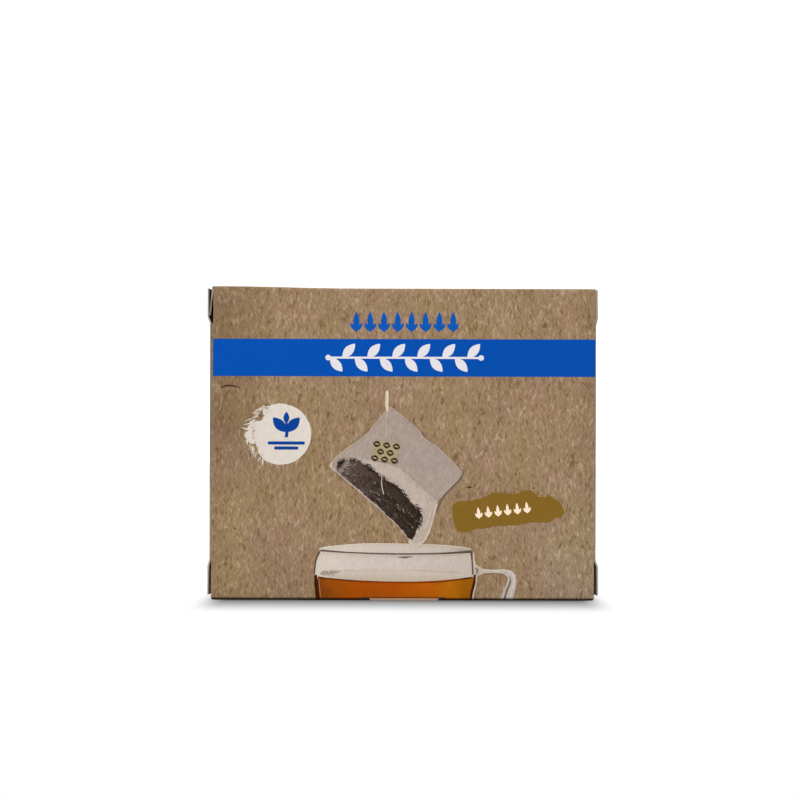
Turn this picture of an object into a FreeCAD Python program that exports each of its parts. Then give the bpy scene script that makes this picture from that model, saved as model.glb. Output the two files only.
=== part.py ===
"""A shut tea bag carton of kraft board, lying on its long side: a straight tuck end carton.

One die-cut blank makes the whole of it, so it is one solid. The four panels of the sleeve run
round the X axis. Each end is shut by a closure panel that hinges on the back panel, lies over
the two dust flaps and tucks in behind the front panel. A slit at each end of the tuck fold
leaves the closure's corners free, and they spring outward: these are the slit locks.
The shut pack is filled out to its board, because nothing inside it can be seen.

Millimetres. X runs along the front panel, -Y is the front and Z is up.
The origin is under the middle of the whole, at the level that the carton rests on.
"""
import FreeCAD, Part
import os
from math import sin, tan

# Sleeve
PANEL_WIDTH = 130.0  # front panel, from one cut edge to the other
PANEL_HEIGHT = 106.0  # front panel, from crease to crease
PANEL_LEAN = 0.65  # foot of the front panel's cut edges, to the left of their top
PACK_DEPTH = 45.0  # front panel to back panel, over the board
BOARD = 0.55  # thickness of the board
CREASE_RADIUS = 0.8  # outside of a creased edge
CREASE_FLATNESS = 1.12  # how far back from the corner the arc's middle lies, against a true round
TOP_CORNER_RADIUS = 0.3  # corners of the front panel, worn a little at the top
BOTTOM_CORNER_RADIUS = 1.0  # and more where the carton stands
SEAM_HEIGHT = 1.2  # cut edge of the back panel over the glued flap, above the bottom

# Closures
CLOSURE_RISE = 1.8  # cut edge of a closure panel above the bottom
FOLD_RADIUS = 1.0  # outside of the tuck fold
SLIT_LENGTH = 11.7  # slit lock, along the tuck fold
SLIT_DEPTH = 5.0  # how far the gap behind a free corner reaches back
SLIT_END_RADIUS = 0.75  # rounded inner end of a slit
SLIT_ROOT = 0.3  # how far a free corner's board runs on past the slit's end
SPRING_RAMP = 2.0  # along the fold, from its level to the full spring of a corner
SPRING_REACH = 18.0  # from a sprung corner back to where the closure lies flat
CORNER_SET_BACK = 0.1  # free corner's cut edge behind the face of the front panel
FLAP_LENGTH = 9.0  # stretch of a dust flap that leans out behind its corner

# How far the tuck fold stands out past the front panel's cut edge, how far the closure's cut
# edge lies below the top of the sleeve, and for each free corner how far it springs out past
# the fold, with the lean and set-back of the dust flap behind it.
LEFT_END = {
    "fold_out": 1.25,
    "drop": 0.8,
    "top": {"spring": 0.8, "flap_lean": 1.0, "flap_set_back": 0.4},
    "bottom": {"spring": 0.6, "flap_lean": 0.4, "flap_set_back": 2.0},
}
RIGHT_END = {
    "fold_out": 0.15,
    "drop": 0.4,
    "top": {"spring": 0.5, "flap_lean": 0.0, "flap_set_back": 1.0},
    "bottom": {"spring": 0.8, "flap_lean": 0.0, "flap_set_back": 1.0},
}

# Thumb tab, cut through the crease under the front panel
TAB_WIDTH = 23.5
TAB_PROUD = 0.4  # in front of the front panel
TAB_THICKNESS = 0.75  # the board and its lifted skin
TAB_CORNER_RADIUS = 0.6
TAB_SLIT = 0.2  # open line above the tab
TAB_NOTCH = 2.4  # length of the slit past each end of the tab
TAB_DEPTH = 1.6  # how far the slit reaches back

# Worked out from the sizes above
HALF_WIDTH = PANEL_WIDTH / 2
FRONT = -PACK_DEPTH / 2
BACK = PACK_DEPTH / 2
INNER_FRONT = FRONT + BOARD
OVERLAP = 1.0  # how far a piece of the blank is run into the one that it joins
SHORTEST_EDGE = 1e-5


def on_plan(a, b):
    return FreeCAD.Vector(a, b, 0)


def on_front(a, b):
    return FreeCAD.Vector(a, 0, b)


def on_section(a, b):
    return FreeCAD.Vector(0, a, b)


def outline(corners, place):
    """A closed wire through (a, b, radius) corners, each rounded by an arc as long as a
    quarter round but flatter, as a crease in board is."""
    points = [FreeCAD.Vector(a, b, 0) for a, b, radius in corners]
    stretches = []
    for i, (a, b, radius) in enumerate(corners):
        corner = points[i]
        if radius == 0:
            stretches.append([corner])
            continue
        back = (points[i - 1] - corner).normalize()
        ahead = (points[(i + 1) % len(points)] - corner).normalize()
        half = back.getAngle(ahead) / 2
        run = radius / tan(half)
        inward = (back + ahead).normalize()
        middle = corner + inward * (radius / sin(half) - radius) * CREASE_FLATNESS
        stretches.append([corner + back * run, middle, corner + ahead * run])
    edges = []
    for i, stretch in enumerate(stretches):
        here = [place(p.x, p.y) for p in stretch]
        if len(here) == 3:
            edges.append(Part.Arc(*here).toShape())
        following = stretches[(i + 1) % len(stretches)][0]
        there = place(following.x, following.y)
        if here[-1].distanceToPoint(there) > SHORTEST_EDGE:
            edges.append(Part.makeLine(here[-1], there))
    return Part.Wire(edges)


def prism(corners, place, low, high):
    """An outline made solid between two levels along the axis that its plane leaves out."""
    base = place(1, 1)
    along = FreeCAD.Vector(1 - base.x, 1 - base.y, 1 - base.z)
    solid = Part.Face(outline(corners, place)).extrude(along * (high - low))
    solid.translate(along * low)
    return solid


def block(x, y, z):
    """A box from three (low, high) pairs."""
    size = [high - low for low, high in (x, y, z)]
    return Part.makeBox(*size, FreeCAD.Vector(x[0], y[0], z[0]))


def sleeve_section():
    """The sleeve seen along X: three creased edges, and the glued seam at the back below."""
    flap_back = BACK - BOARD
    return [
        (FRONT, 0, CREASE_RADIUS),
        (flap_back, 0, CREASE_RADIUS),
        (flap_back, SEAM_HEIGHT, 0),
        (BACK, SEAM_HEIGHT, 0),
        (BACK, PANEL_HEIGHT, CREASE_RADIUS),
        (FRONT, PANEL_HEIGHT, CREASE_RADIUS),
    ]


def sleeve():
    """The four panels, filled, with the dust flaps creased over at both ends."""
    left = -HALF_WIDTH - dust_level(LEFT_END)
    right = HALF_WIDTH + dust_level(RIGHT_END)
    section = prism(sleeve_section(), on_section, -PANEL_WIDTH, PANEL_WIDTH)
    core_front = [
        (left, 0, CREASE_RADIUS),
        (right, 0, CREASE_RADIUS),
        (right, PANEL_HEIGHT, CREASE_RADIUS),
        (left, PANEL_HEIGHT, CREASE_RADIUS),
    ]
    panel_front = [
        (-HALF_WIDTH - PANEL_LEAN, 0, BOTTOM_CORNER_RADIUS),
        (HALF_WIDTH - PANEL_LEAN, 0, BOTTOM_CORNER_RADIUS),
        (HALF_WIDTH, PANEL_HEIGHT, TOP_CORNER_RADIUS),
        (-HALF_WIDTH, PANEL_HEIGHT, TOP_CORNER_RADIUS),
    ]
    core = prism(core_front, on_front, INNER_FRONT, BACK)
    panel = prism(panel_front, on_front, FRONT, INNER_FRONT)
    return section.common(core.fuse(panel))


def dust_level(end):
    """How far the dust flaps' outer face stands past the front panel's cut edge."""
    return end["fold_out"] - BOARD


def reach(end):
    """How far the furthest free corner stands past the front panel's cut edge."""
    return end["fold_out"] + max(end["top"]["spring"], end["bottom"]["spring"])


def closure(end):
    """A right-hand closure panel with its hinge crease and its tuck fold, lying flat."""
    outer = HALF_WIDTH + end["fold_out"]
    inner = outer - BOARD - OVERLAP
    plan = [
        (inner, INNER_FRONT, 0),
        (outer, INNER_FRONT, FOLD_RADIUS),
        (outer, BACK, CREASE_RADIUS),
        (inner, BACK, 0),
    ]
    return prism(plan, on_plan, CLOSURE_RISE, PANEL_HEIGHT - end["drop"])


def slit_gap(end, edge, inward):
    """What the slit opens up between a free corner and the front panel's cut edge."""
    inner_level = min(0, dust_level(end))
    outer = HALF_WIDTH + reach(end) + OVERLAP
    slit_end = edge + inward * SLIT_LENGTH
    radius = min(SLIT_END_RADIUS, end["fold_out"] - inner_level)
    front = [
        (HALF_WIDTH + inner_level, edge, 0),
        (HALF_WIDTH + inner_level, slit_end, 0),
        (HALF_WIDTH + end["fold_out"], slit_end, radius),
        (HALF_WIDTH + end["fold_out"], slit_end - inward * 2 * radius, 0),
        (outer, slit_end - inward * 2 * radius, 0),
        (outer, edge, 0),
    ]
    return prism(front, on_front, INNER_FRONT, INNER_FRONT + SLIT_DEPTH)


def leaf(end, spring, level):
    """The cut outline, on one level, of closure board that springs out at its front."""
    outer = HALF_WIDTH + end["fold_out"]
    front = FRONT + CORNER_SET_BACK
    flat = front + SPRING_REACH
    points = [
        FreeCAD.Vector(outer - BOARD, flat, level),
        FreeCAD.Vector(outer, flat, level),
        FreeCAD.Vector(outer + spring, front, level),
        FreeCAD.Vector(outer + spring - BOARD, front, level),
    ]
    return Part.makePolygon(points + points[:1])


def free_corner(end, corner, edge, inward):
    """The sprung corner of a closure: it rises past the slit's end and stays out to its edge."""
    slit_end = edge + inward * SLIT_LENGTH
    spring = corner["spring"]
    levels = [
        (slit_end + inward * SLIT_ROOT, 0),
        (slit_end, 0),
        (slit_end - inward * SPRING_RAMP, spring),
        (edge, spring),
    ]
    wires = [leaf(end, rise, level) for level, rise in levels]
    return Part.makeLoft(wires, True, True)


def dust_flap(end, corner, edge, inward):
    """The front strip of a dust flap, leaning out from its crease to the free corner."""
    level = HALF_WIDTH + dust_level(end)
    front = FRONT + corner["flap_set_back"]
    tip = edge + inward * FLAP_LENGTH
    lean = min(corner["flap_lean"], corner["spring"])
    flat = level - corner["flap_lean"] + lean
    strip = [
        (flat - BOARD, edge, 0),
        (flat, edge, 0),
        (level + lean, tip, 0),
        (level + lean - BOARD, tip, 0),
    ]
    return prism(strip, on_front, front, INNER_FRONT + SLIT_DEPTH + OVERLAP)


def thumb_tab(carton):
    """The half-moon tab's straight edge: it shows as a pale lip in a slit along the crease."""
    half = TAB_WIDTH / 2
    slit = block(
        (-half - TAB_NOTCH, half + TAB_NOTCH),
        (FRONT - OVERLAP, FRONT + TAB_DEPTH),
        (-OVERLAP, TAB_THICKNESS + TAB_SLIT),
    )
    lip = [
        (-half, 0, TAB_CORNER_RADIUS),
        (half, 0, TAB_CORNER_RADIUS),
        (half, TAB_THICKNESS, 0),
        (-half, TAB_THICKNESS, 0),
    ]
    tab = prism(lip, on_front, FRONT - TAB_PROUD, FRONT + TAB_DEPTH + OVERLAP)
    return carton.cut(slit).fuse(tab)


def carton():
    """The whole blank, folded and shut."""
    body = sleeve()
    for end, side in ((LEFT_END, -1), (RIGHT_END, 1)):
        closed = [closure(end)]
        gaps = []
        corners = []
        for name, edge, inward in (
            ("top", PANEL_HEIGHT - end["drop"], -1),
            ("bottom", CLOSURE_RISE, 1),
        ):
            gaps.append(slit_gap(end, edge, inward))
            corners.append(free_corner(end, end[name], edge, inward))
            corners.append(dust_flap(end, end[name], edge, inward))
        if side < 0:
            middle = FreeCAD.Vector(0, 0, 0)
            across = FreeCAD.Vector(1, 0, 0)
            closed, gaps, corners = (
                [piece.mirror(middle, across) for piece in pieces]
                for pieces in (closed, gaps, corners)
            )
        body = body.fuse(closed).cut(gaps).fuse(corners)
    body = thumb_tab(body).removeSplitter()
    sideways = (reach(LEFT_END) - reach(RIGHT_END)) / 2
    body.translate(FreeCAD.Vector(sideways, TAB_PROUD / 2, 0))
    return body


os.makedirs("parts", exist_ok=True)
whole = carton()
whole.exportStep("parts/carton.step")
box = whole.BoundBox
print("carton: solids", len(whole.Solids), "valid", whole.isValid(), "volume", round(whole.Volume))
print("box", [round(v, 3) for v in (box.XMin, box.XMax, box.YMin, box.YMax, box.ZMin, box.ZMax)])
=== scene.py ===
"""Dresses a shut kraft-board tea bag carton: its boards, its cut edges and its print.

The carton's solid gives every place. Each board is cut out of a merged copy of it, and the print
is thin closed ink on the front board, laid layer over layer. Print sizes are in millimetres from
the middle of the front board: x to the right, z up.
"""
import math
import random

import bmesh
import bpy
from mathutils import Matrix, Vector, noise


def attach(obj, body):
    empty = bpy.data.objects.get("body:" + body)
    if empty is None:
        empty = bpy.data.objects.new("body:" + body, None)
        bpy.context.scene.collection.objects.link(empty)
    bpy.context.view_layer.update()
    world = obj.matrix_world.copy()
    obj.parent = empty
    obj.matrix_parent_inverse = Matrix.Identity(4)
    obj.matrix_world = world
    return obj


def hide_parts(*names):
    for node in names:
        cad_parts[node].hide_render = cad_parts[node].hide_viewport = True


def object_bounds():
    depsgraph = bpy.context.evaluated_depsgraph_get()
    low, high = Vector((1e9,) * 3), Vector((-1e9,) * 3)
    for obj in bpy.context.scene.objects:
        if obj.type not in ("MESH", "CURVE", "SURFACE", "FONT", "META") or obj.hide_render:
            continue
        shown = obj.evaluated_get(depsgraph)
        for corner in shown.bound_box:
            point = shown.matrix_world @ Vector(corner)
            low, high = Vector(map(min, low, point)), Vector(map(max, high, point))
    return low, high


bl_info = {
    "name": "Tea bag carton",
    "version": (1, 0, 0),
    "blender": (4, 5, 0),
    "location": "3D View > Sidebar > Carton",
    "description": "Dresses a shut kraft-board tea bag carton and sets its stage",
    "category": "Object",
}

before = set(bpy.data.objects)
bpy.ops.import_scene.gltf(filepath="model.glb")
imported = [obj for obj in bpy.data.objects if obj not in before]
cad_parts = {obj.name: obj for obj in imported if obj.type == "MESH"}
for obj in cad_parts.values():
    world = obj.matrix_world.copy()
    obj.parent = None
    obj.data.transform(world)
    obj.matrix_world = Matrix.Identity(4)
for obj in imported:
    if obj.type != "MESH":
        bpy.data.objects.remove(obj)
CAD_LOW, CAD_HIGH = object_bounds()
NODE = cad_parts["carton"]
MM = 0.001
# Points of the solid this near each other are one point.
MERGE_DISTANCE = 1e-6
# A cut through the ink takes in points this near it.
SCORE_DISTANCE = 1e-7
# Faces that turn by less than this are one flat face.
FLAT_ANGLE = 0.001
# Two faces of board meet at a cut where they turn by more than this.
SHARP = math.radians(50)
# Faces that turn by less than this are shaded as one round surface.
SMOOTH_BELOW = math.radians(30)
# A face looks straight along an axis where its normal reaches this much of it.
SQUARE_ON = 0.999
# The thumb tab lies within this of the front board's foot.
TAB_SEARCH = 3 * MM
# Shapes of one ink that cross each other lie this much apart.
SHAPE_STEP = 0.0008 * MM
STEPS_BEFORE_REPEAT = 24
# Ink stops this far above the level that the carton stands on.
FOOT_MARGIN = 0.08 * MM
# The board's relief, from its lowest to its highest fibre.
RELIEF = 0.1 * MM


def srgb(red, green, blue):
    """A colour written as 0 to 255 display values, as the linear values that materials take."""
    linear = []
    for value in (red, green, blue):
        share = value / 255
        low = share <= 0.04045
        linear.append(share / 12.92 if low else ((share + 0.055) / 1.055) ** 2.4)
    return tuple(linear)


def tones(*stops):
    """Stops of an ink, each from its millimetres, red, green and blue."""
    return [(place, srgb(red, green, blue)) for place, red, green, blue in stops]


def tinted(tone, *factors):
    """A tone times one factor, or times one each for its red, green and blue."""
    if len(factors) == 1:
        factors *= 3
    return tuple(share * factor for share, factor in zip(tone, factors))


def length(name, description, millimetres):
    """A length that a user can set, stored in metres."""
    return bpy.props.FloatProperty(
        name=name,
        description=description,
        default=millimetres * MM,
        subtype="DISTANCE",
        unit="LENGTH",
        precision=5,
    )


def colour(name, description, red, green, blue):
    """A colour that a user can set."""
    return bpy.props.FloatVectorProperty(
        name=name,
        description=description,
        default=srgb(red, green, blue),
        subtype="COLOR",
        size=3,
        min=0,
        max=1,
    )


# ---------------------------------------------------------------- settings


class CartonBoard(bpy.types.PropertyGroup):
    """The board that the carton is folded from."""

    thickness: length("Board", "Thickness of the board", 0.55)
    crease: length("Crease", "Outside radius of a crease", 0.8)
    lit_depth: length("Lit depth", "How far behind the front light gets into a slit", 0.9)
    rise: length("Rise", "How far the top bows up at its left end", 0.65)
    kraft: colour("Kraft", "Printed brown of the outside", 149, 123, 95)
    fibre_dark: colour("Dark fibre", "Darkest fibres of the kraft", 116, 91, 63)
    fibre_light: colour("Light fibre", "Lightest fibres of the kraft", 178, 153, 125)
    cut_edge: colour("Cut edge", "Grey core that shows at a cut", 168, 160, 149)
    # This colour also serves as the painted shade on faces deep in the slits.
    inside: colour("Inside", "Unprinted inner face of the board", 104, 91, 77)
    tab_lip: colour("Tab lip", "Torn pale edge of the thumb tab", 168, 136, 110)


class CartonPrint(bpy.types.PropertyGroup):
    """The band, the ornaments and the two brushed patches."""

    band_low: length("Band foot", "Lower edge of the band above the middle", 22.7)
    band_high: length("Band head", "Upper edge of the band above the middle", 35.4)
    lift: length("Register", "How far all print lies above its place on the board", 0.38)
    ink: length("Ink", "How far one layer of ink stands on the next", 0.03)
    band_blue: colour("Band blue", "Blue of the band", 0, 77, 172)
    heading_blue: colour("Heading blue", "Blue of the ornament above the band", 10, 84, 172)
    white: colour("White", "White of the ornament in the band", 222, 219, 223)
    badge: colour("Badge", "Off-white of the brushed roundel", 217, 208, 198)
    badge_blue: colour("Badge blue", "Deep blue of the sprout on the roundel", 4, 62, 146)
    gold: colour("Gold", "Olive gold of the brush stroke", 128, 98, 34)
    cream: colour("Cream", "Cream of the leaves on the brush stroke", 250, 228, 200)


class CartonPicture(bpy.types.PropertyGroup):
    """The printed sachet over the printed cup."""

    bag: colour("Bag", "Thin paper of the sachet", 165, 149, 138)
    bag_front: colour("Bag front", "Lighter near face of the sachet", 185, 169, 157)
    seam: colour("Seam", "Pale seams and edges", 206, 191, 174)
    leaf: colour("Tea leaf", "Dark leaves in the sachet", 60, 48, 41)
    tag: colour("Tag", "Paper tag on the string", 166, 150, 116)
    glass: colour("Glass", "Pale glass of the cup", 212, 202, 189)
    tea: colour("Tea", "Amber tea", 169, 77, 4)


class CartonStage(bpy.types.PropertyGroup):
    """The camera and the floor."""

    distance: length("Camera distance", "From the lens to the front board", 900)
    view_width: length("View width", "What the view takes in at the front board", 271.9)
    drop: length("Drop", "The board's middle below the middle of the view", 15.08)
    aside: length("Aside", "The board's middle to the right of the view's", 1.5)
    # The soft shadow on the floor is painted, and this is how far it runs.
    shadow_reach: length("Shadow reach", "How far the soft shadow runs on the floor", 70)
    roll: bpy.props.FloatProperty(
        name="Roll",
        description="Turn of the camera about its own axis",
        default=math.radians(-0.16),
        subtype="ANGLE",
        unit="ROTATION",
    )


SETTINGS = {
    "carton_board": CartonBoard,
    "carton_print": CartonPrint,
    "carton_picture": CartonPicture,
    "carton_stage": CartonStage,
}


# ---------------------------------------------------------------- node materials


class Recipe:
    """The nodes of a material or of the world, with short ways to add and wire them."""

    def __init__(self, name, world=False):
        self.owner = (bpy.data.worlds if world else bpy.data.materials).new(name)
        self.owner.use_nodes = True
        self.nodes = self.owner.node_tree.nodes
        self.links = self.owner.node_tree.links
        self.nodes.clear()

    def node(self, kind, wires=None, **settings):
        node = self.nodes.new(kind)
        for key, value in settings.items():
            setattr(node, key, value)
        for key, value in (wires or {}).items():
            self.wire(value, node.inputs[key])
        return node

    def wire(self, value, socket):
        if isinstance(value, bpy.types.NodeSocket):
            self.links.new(value, socket)
        elif socket.type == "RGBA":
            socket.default_value = (*value[:3], 1)
        else:
            socket.default_value = value

    def math(self, operation, *values):
        return self.node("ShaderNodeMath", dict(enumerate(values)), operation=operation).outputs[0]

    def mix(self, share, first, second, blend="MIX"):
        node = self.node("ShaderNodeMix", data_type="RGBA", blend_type=blend)
        self.wire(share, node.inputs["Factor"])
        self.wire(first, node.inputs["A"])
        self.wire(second, node.inputs["B"])
        return next(out for out in node.outputs if out.type == "RGBA")

    def span(self, value, low, high, to_low=0.0, to_high=1.0):
        wires = {"Value": value, "From Min": low, "From Max": high}
        wires.update({"To Min": to_low, "To Max": to_high})
        node = self.node("ShaderNodeMapRange", wires, interpolation_type="SMOOTHSTEP")
        return node.outputs["Result"]

    def place(self, turn=(0, 0, 0), stretch=(1, 1, 1), shift=(0, 0, 0)):
        """Object coordinates in millimetres, turned and stretched for a pattern."""
        raw = self.node("ShaderNodeTexCoord").outputs["Object"]
        scale = tuple(share / MM for share in stretch)
        turned = self.node("ShaderNodeMapping", {"Vector": raw, "Rotation": turn}).outputs[0]
        wires = {"Vector": turned, "Scale": scale, "Location": shift}
        return self.node("ShaderNodeMapping", wires).outputs[0]

    def fibre_place(self, along, degrees, across, lengthwise, shift):
        """Coordinates for fibres that lie along an axis, turned a little from it."""
        turn = [0, 0, 0]
        turn[{"Z": 1, "Y": 0}[along]] = math.radians(degrees)
        stretch = [across] * 3
        stretch["XYZ".index(along)] = lengthwise
        return self.place(tuple(turn), tuple(stretch), shift)

    def noise(self, where, scale=1.0, detail=2.0, roughness=0.5, distortion=0.0):
        wires = {"Vector": where, "Scale": scale, "Detail": detail}
        wires.update({"Roughness": roughness, "Distortion": distortion})
        return self.node("ShaderNodeTexNoise", wires).outputs["Fac"]

    def axes(self):
        """The three Object coordinates in millimetres, one socket each."""
        return self.node("ShaderNodeSeparateXYZ", {"Vector": self.place()}).outputs

    def darkened(self, tone, level):
        """A tone taken times a grey level."""
        wires = {"Red": level, "Green": level, "Blue": level}
        grey = self.node("ShaderNodeCombineColor", wires).outputs[0]
        return self.mix(1.0, tone, grey, "MULTIPLY")

    def either(self, share, first, second):
        """The first shader where the share is 0, and the second where it is 1."""
        wires = {0: share, 1: first.outputs[0], 2: second.outputs[0]}
        return self.node("ShaderNodeMixShader", wires)

    def show(self, shader, kind="ShaderNodeOutputMaterial"):
        """Puts a shader on the surface, or round the scene."""
        self.node(kind, {"Surface": shader.outputs[0]})
        return self.owner

    def finish(self, tone, roughness, height, bump, specular):
        """A dull surface with a faint relief."""
        wires = {"Height": height, "Strength": bump, "Distance": RELIEF}
        relief = self.node("ShaderNodeBump", wires).outputs["Normal"]
        wires = {"Base Color": tone, "Roughness": roughness, "Normal": relief}
        wires["Specular IOR Level"] = specular
        return self.show(self.node("ShaderNodeBsdfPrincipled", wires))


# The layers of the felt: turn in degrees, width and length of a fibre in mm, weight, shift.
FELT = (
    (7, 0.7, 2.8, 1.0, 0),
    (-22, 0.66, 2.4, 0.95, 31),
    (38, 0.66, 2.0, 0.7, 57),
    (2, 1.6, 7.5, 0.3, 83),
)
# How far each of these moves the kraft between its darkest and its lightest tone.
FELT_SHARE = 0.57
STRAY_SHARE = 0.34
CLOUD_SHARE = 0.5
# The kraft drifts between these two hues.
HUE_DRIFT = ((1.0, 1.01, 0.94), (1.0, 0.985, 1.03))


def felted_fibres(recipe, along):
    """Short wood fibres that lie mostly along one axis: below 0 for dark, above 0 for light."""
    total = None
    for degrees, width, run, weight, shift in FELT:
        shifts = (shift, shift / 2, -shift)
        where = recipe.fibre_place(along, degrees, 1 / width, 1 / run, shifts)
        grain = recipe.noise(where, 1.0, 2.0, 0.6, 0.45)
        centred = recipe.math("MULTIPLY_ADD", grain, 2 * weight, -weight)
        total = centred if total is None else recipe.math("ADD", total, centred)
    return total


def stray_fibres(recipe, along, degrees, shift):
    """Single long thin fibres: 1 on a fibre and 0 between them."""
    where = recipe.fibre_place(along, degrees, 0.3, 0.075, (shift, -shift, shift))
    winding = recipe.noise(where, 1.0, 1.0, 0.5, 0.6)
    ridge = recipe.math("ABSOLUTE", recipe.math("SUBTRACT", winding, 0.5))
    line = recipe.span(ridge, 0.006, 0.026, 1.0, 0.0)
    broken = recipe.noise(recipe.place(shift=(shift, shift, 0)), 0.33, 1.0)
    return recipe.math("MULTIPLY", line, recipe.span(broken, 0.5, 0.62))


def kraft_tone(recipe, board, along):
    """The brown of the board: dark and light fibres, cloudiness and a slight drift of hue."""
    level = recipe.math("MULTIPLY_ADD", felted_fibres(recipe, along), FELT_SHARE, 0.5)
    light = stray_fibres(recipe, along, 9, 11)
    level = recipe.math("MULTIPLY_ADD", light, STRAY_SHARE, level)
    dark = stray_fibres(recipe, along, -14, 47)
    level = recipe.math("MULTIPLY_ADD", dark, -STRAY_SHARE, level)
    cloud = recipe.noise(recipe.place(shift=(40, 0, -12)), 0.09, 3.0, 0.55)
    cloud = recipe.math("MULTIPLY_ADD", cloud, CLOUD_SHARE, -CLOUD_SHARE / 2)
    level = recipe.math("ADD", level, cloud)
    lower = recipe.mix(recipe.span(level, 0, 0.5), board.fibre_dark, board.kraft)
    tone = recipe.mix(recipe.span(level, 0.5, 1.0), lower, board.fibre_light)
    drift = recipe.noise(recipe.place(shift=(20, 0, 5)), 0.07, 3.0, 0.55)
    hue = recipe.mix(recipe.span(drift, 0.38, 0.62), *HUE_DRIFT)
    return recipe.mix(1.0, tone, hue, "MULTIPLY"), level


def painted_foot_shade(recipe, tone):
    """Painted shade: darker along the foot, where the board turns under towards the floor."""
    patchy = recipe.noise(recipe.place(shift=(3, 8, 2)), 0.7, 2.0)
    height = recipe.axes()["Z"]
    wandering = recipe.math("ADD", height, recipe.math("MULTIPLY_ADD", patchy, 0.4, -0.2))
    foot = recipe.span(wandering, 0.4, 1.3, 0.93, 0.0)
    foot_shade = recipe.math("MAXIMUM", foot, recipe.span(height, 0, 5, 0.06, 0.0))
    # Painted shade: near black at the very foot, fading over the lowest few millimetres.
    return recipe.mix(foot_shade, tone, srgb(24, 10, 4))


def wear_and_painted_light(recipe, tone):
    """Wear and painted light on an upright board: painted shade along its foot, rubbed pale along
    the front board's cut edges with a painted shade beside them, painted shade at the upper left
    and painted light at the lower right."""
    axes = recipe.axes()
    tone = painted_foot_shade(recipe, tone)
    foot_left, top_left = (point / MM for point in LEFT_EDGE)
    slope = (top_left.x - foot_left.x) / (top_left.z - foot_left.z)
    half = (RIGHT_EDGE[1].x - LEFT_EDGE[1].x) / 2 / MM
    below = recipe.math("SUBTRACT", top_left.z, axes["Z"])
    upright = recipe.math("MULTIPLY_ADD", below, slope, axes["X"])
    across = recipe.math("ABSOLUTE", recipe.math("SUBTRACT", upright, MIDDLE.x / MM))
    patchy = recipe.noise(recipe.place(shift=(8, 3, 2)), 0.7, 2.0)
    near = recipe.math("MULTIPLY_ADD", patchy, 0.6, across)
    rubbed = recipe.span(near, half - 0.35, half + 0.25, 0.0, 0.14)
    # Painted shade within 9 mm of the cut edges.
    shade = recipe.span(across, half - 9, half, 0.0, 0.12)
    # Painted shade at the upper left, under the band.
    left = recipe.span(axes["X"], -60, -42, 0.36, 0.0)
    painted_shade_upper_left = recipe.math("MULTIPLY", left, recipe.span(axes["Z"], 26, 60))
    # Painted light: lighter towards the lower right.
    right = recipe.span(axes["X"], 28, 66)
    painted_light_lower_right = recipe.math("MULTIPLY", right, recipe.span(axes["Z"], 10, 44, 1.0, 0.0))
    painted_edge_and_left_shade = recipe.math("MAXIMUM", shade, painted_shade_upper_left)
    tone = recipe.mix(painted_edge_and_left_shade, tone, (0.33, 0.26, 0.17), "MULTIPLY")
    tone = recipe.mix(painted_light_lower_right, tone, (1.07, 1.17, 1.29), "MULTIPLY")
    return recipe.mix(rubbed, tone, srgb(182, 172, 152))


def kraft_material(name, board, along):
    """Printed kraft outside: felted fibres, a dull sheen and a faint relief."""
    recipe = Recipe(name)
    tone, level = kraft_tone(recipe, board, along)
    # Upright boards also take wear and painted shade and light.
    if along == "Z":
        tone = wear_and_painted_light(recipe, tone)
    roughness = recipe.span(level, 0.0, 1.0, 0.82, 0.7)
    return recipe.finish(tone, roughness, level, 0.25, 0.06)


def cut_edge_material(name, base):
    """Core that shows at a cut: pressed layers with loose ends."""
    recipe = Recipe(name)
    layers = recipe.noise(recipe.place(stretch=(3.2, 3.2, 0.5)), 1.0, 2.0, 0.6)
    frayed = recipe.noise(recipe.place(), 2.6, 3.0, 0.6)
    level = recipe.math("MULTIPLY_ADD", layers, 0.5, 0.6)
    level = recipe.math("MULTIPLY_ADD", frayed, 0.35, recipe.math("SUBTRACT", level, 0.03))
    return recipe.finish(recipe.darkened(base, level), 0.95, frayed, 0.5, 0.1)


def inside_and_shade_material(name, base):
    """Inner face of the board, painted dark as the shade behind a slit, with painted light in the
    lower slits.
    """
    recipe = Recipe(name)
    grain = recipe.noise(recipe.place(), 1.4, 3.0, 0.6)
    tone = recipe.mix(grain, tinted(base, 0.6), base)
    height = recipe.axes()["Z"]
    # Painted light in the lower slits, from about 3 mm up, fading out by 60 mm.
    low = recipe.math("MULTIPLY", recipe.span(height, 20, 60, 1.0, 0.0), recipe.span(height, 2, 4))
    return recipe.finish(recipe.mix(low, tone, srgb(172, 149, 123)), 0.95, grain, 0.3, 0.05)


def ink_material(name, stops, cover=0.93, mottle=0.04, roughness=0.55, axis="X"):
    """Flat ink on kraft, with the board's fibres showing through a little.

    Stops are (millimetres along the axis, tone), and one tone runs into the next between them.
    """
    recipe = Recipe(name)
    tone = stops[0][1]
    if len(stops) > 1:
        along = recipe.axes()["XYZ".index(axis)]
        wander = recipe.noise(recipe.place(), 0.15, 2.0)
        width = abs(stops[-1][0] - stops[0][0])
        place = recipe.math("MULTIPLY_ADD", wander, 0.2 * width, along)
        place = recipe.math("SUBTRACT", place, 0.1 * width)
        for (low, _), (high, following) in zip(stops, stops[1:]):
            tone = recipe.mix(recipe.span(place, low, high), tone, following)
    fibres = felted_fibres(recipe, "Z")
    level = recipe.math("MULTIPLY_ADD", fibres, (1 - cover) * 0.9, 1.0 - 2 * mottle)
    cloud = recipe.noise(recipe.place(shift=(9, 0, 4)), 0.45, 3.0, 0.65)
    level = recipe.math("MULTIPLY_ADD", cloud, 4 * mottle, level)
    # The ink takes the painted shade along the foot too.
    tone = painted_foot_shade(recipe, recipe.darkened(tone, level))
    return recipe.finish(tone, roughness, fibres, 0.06, 0.04)


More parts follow.
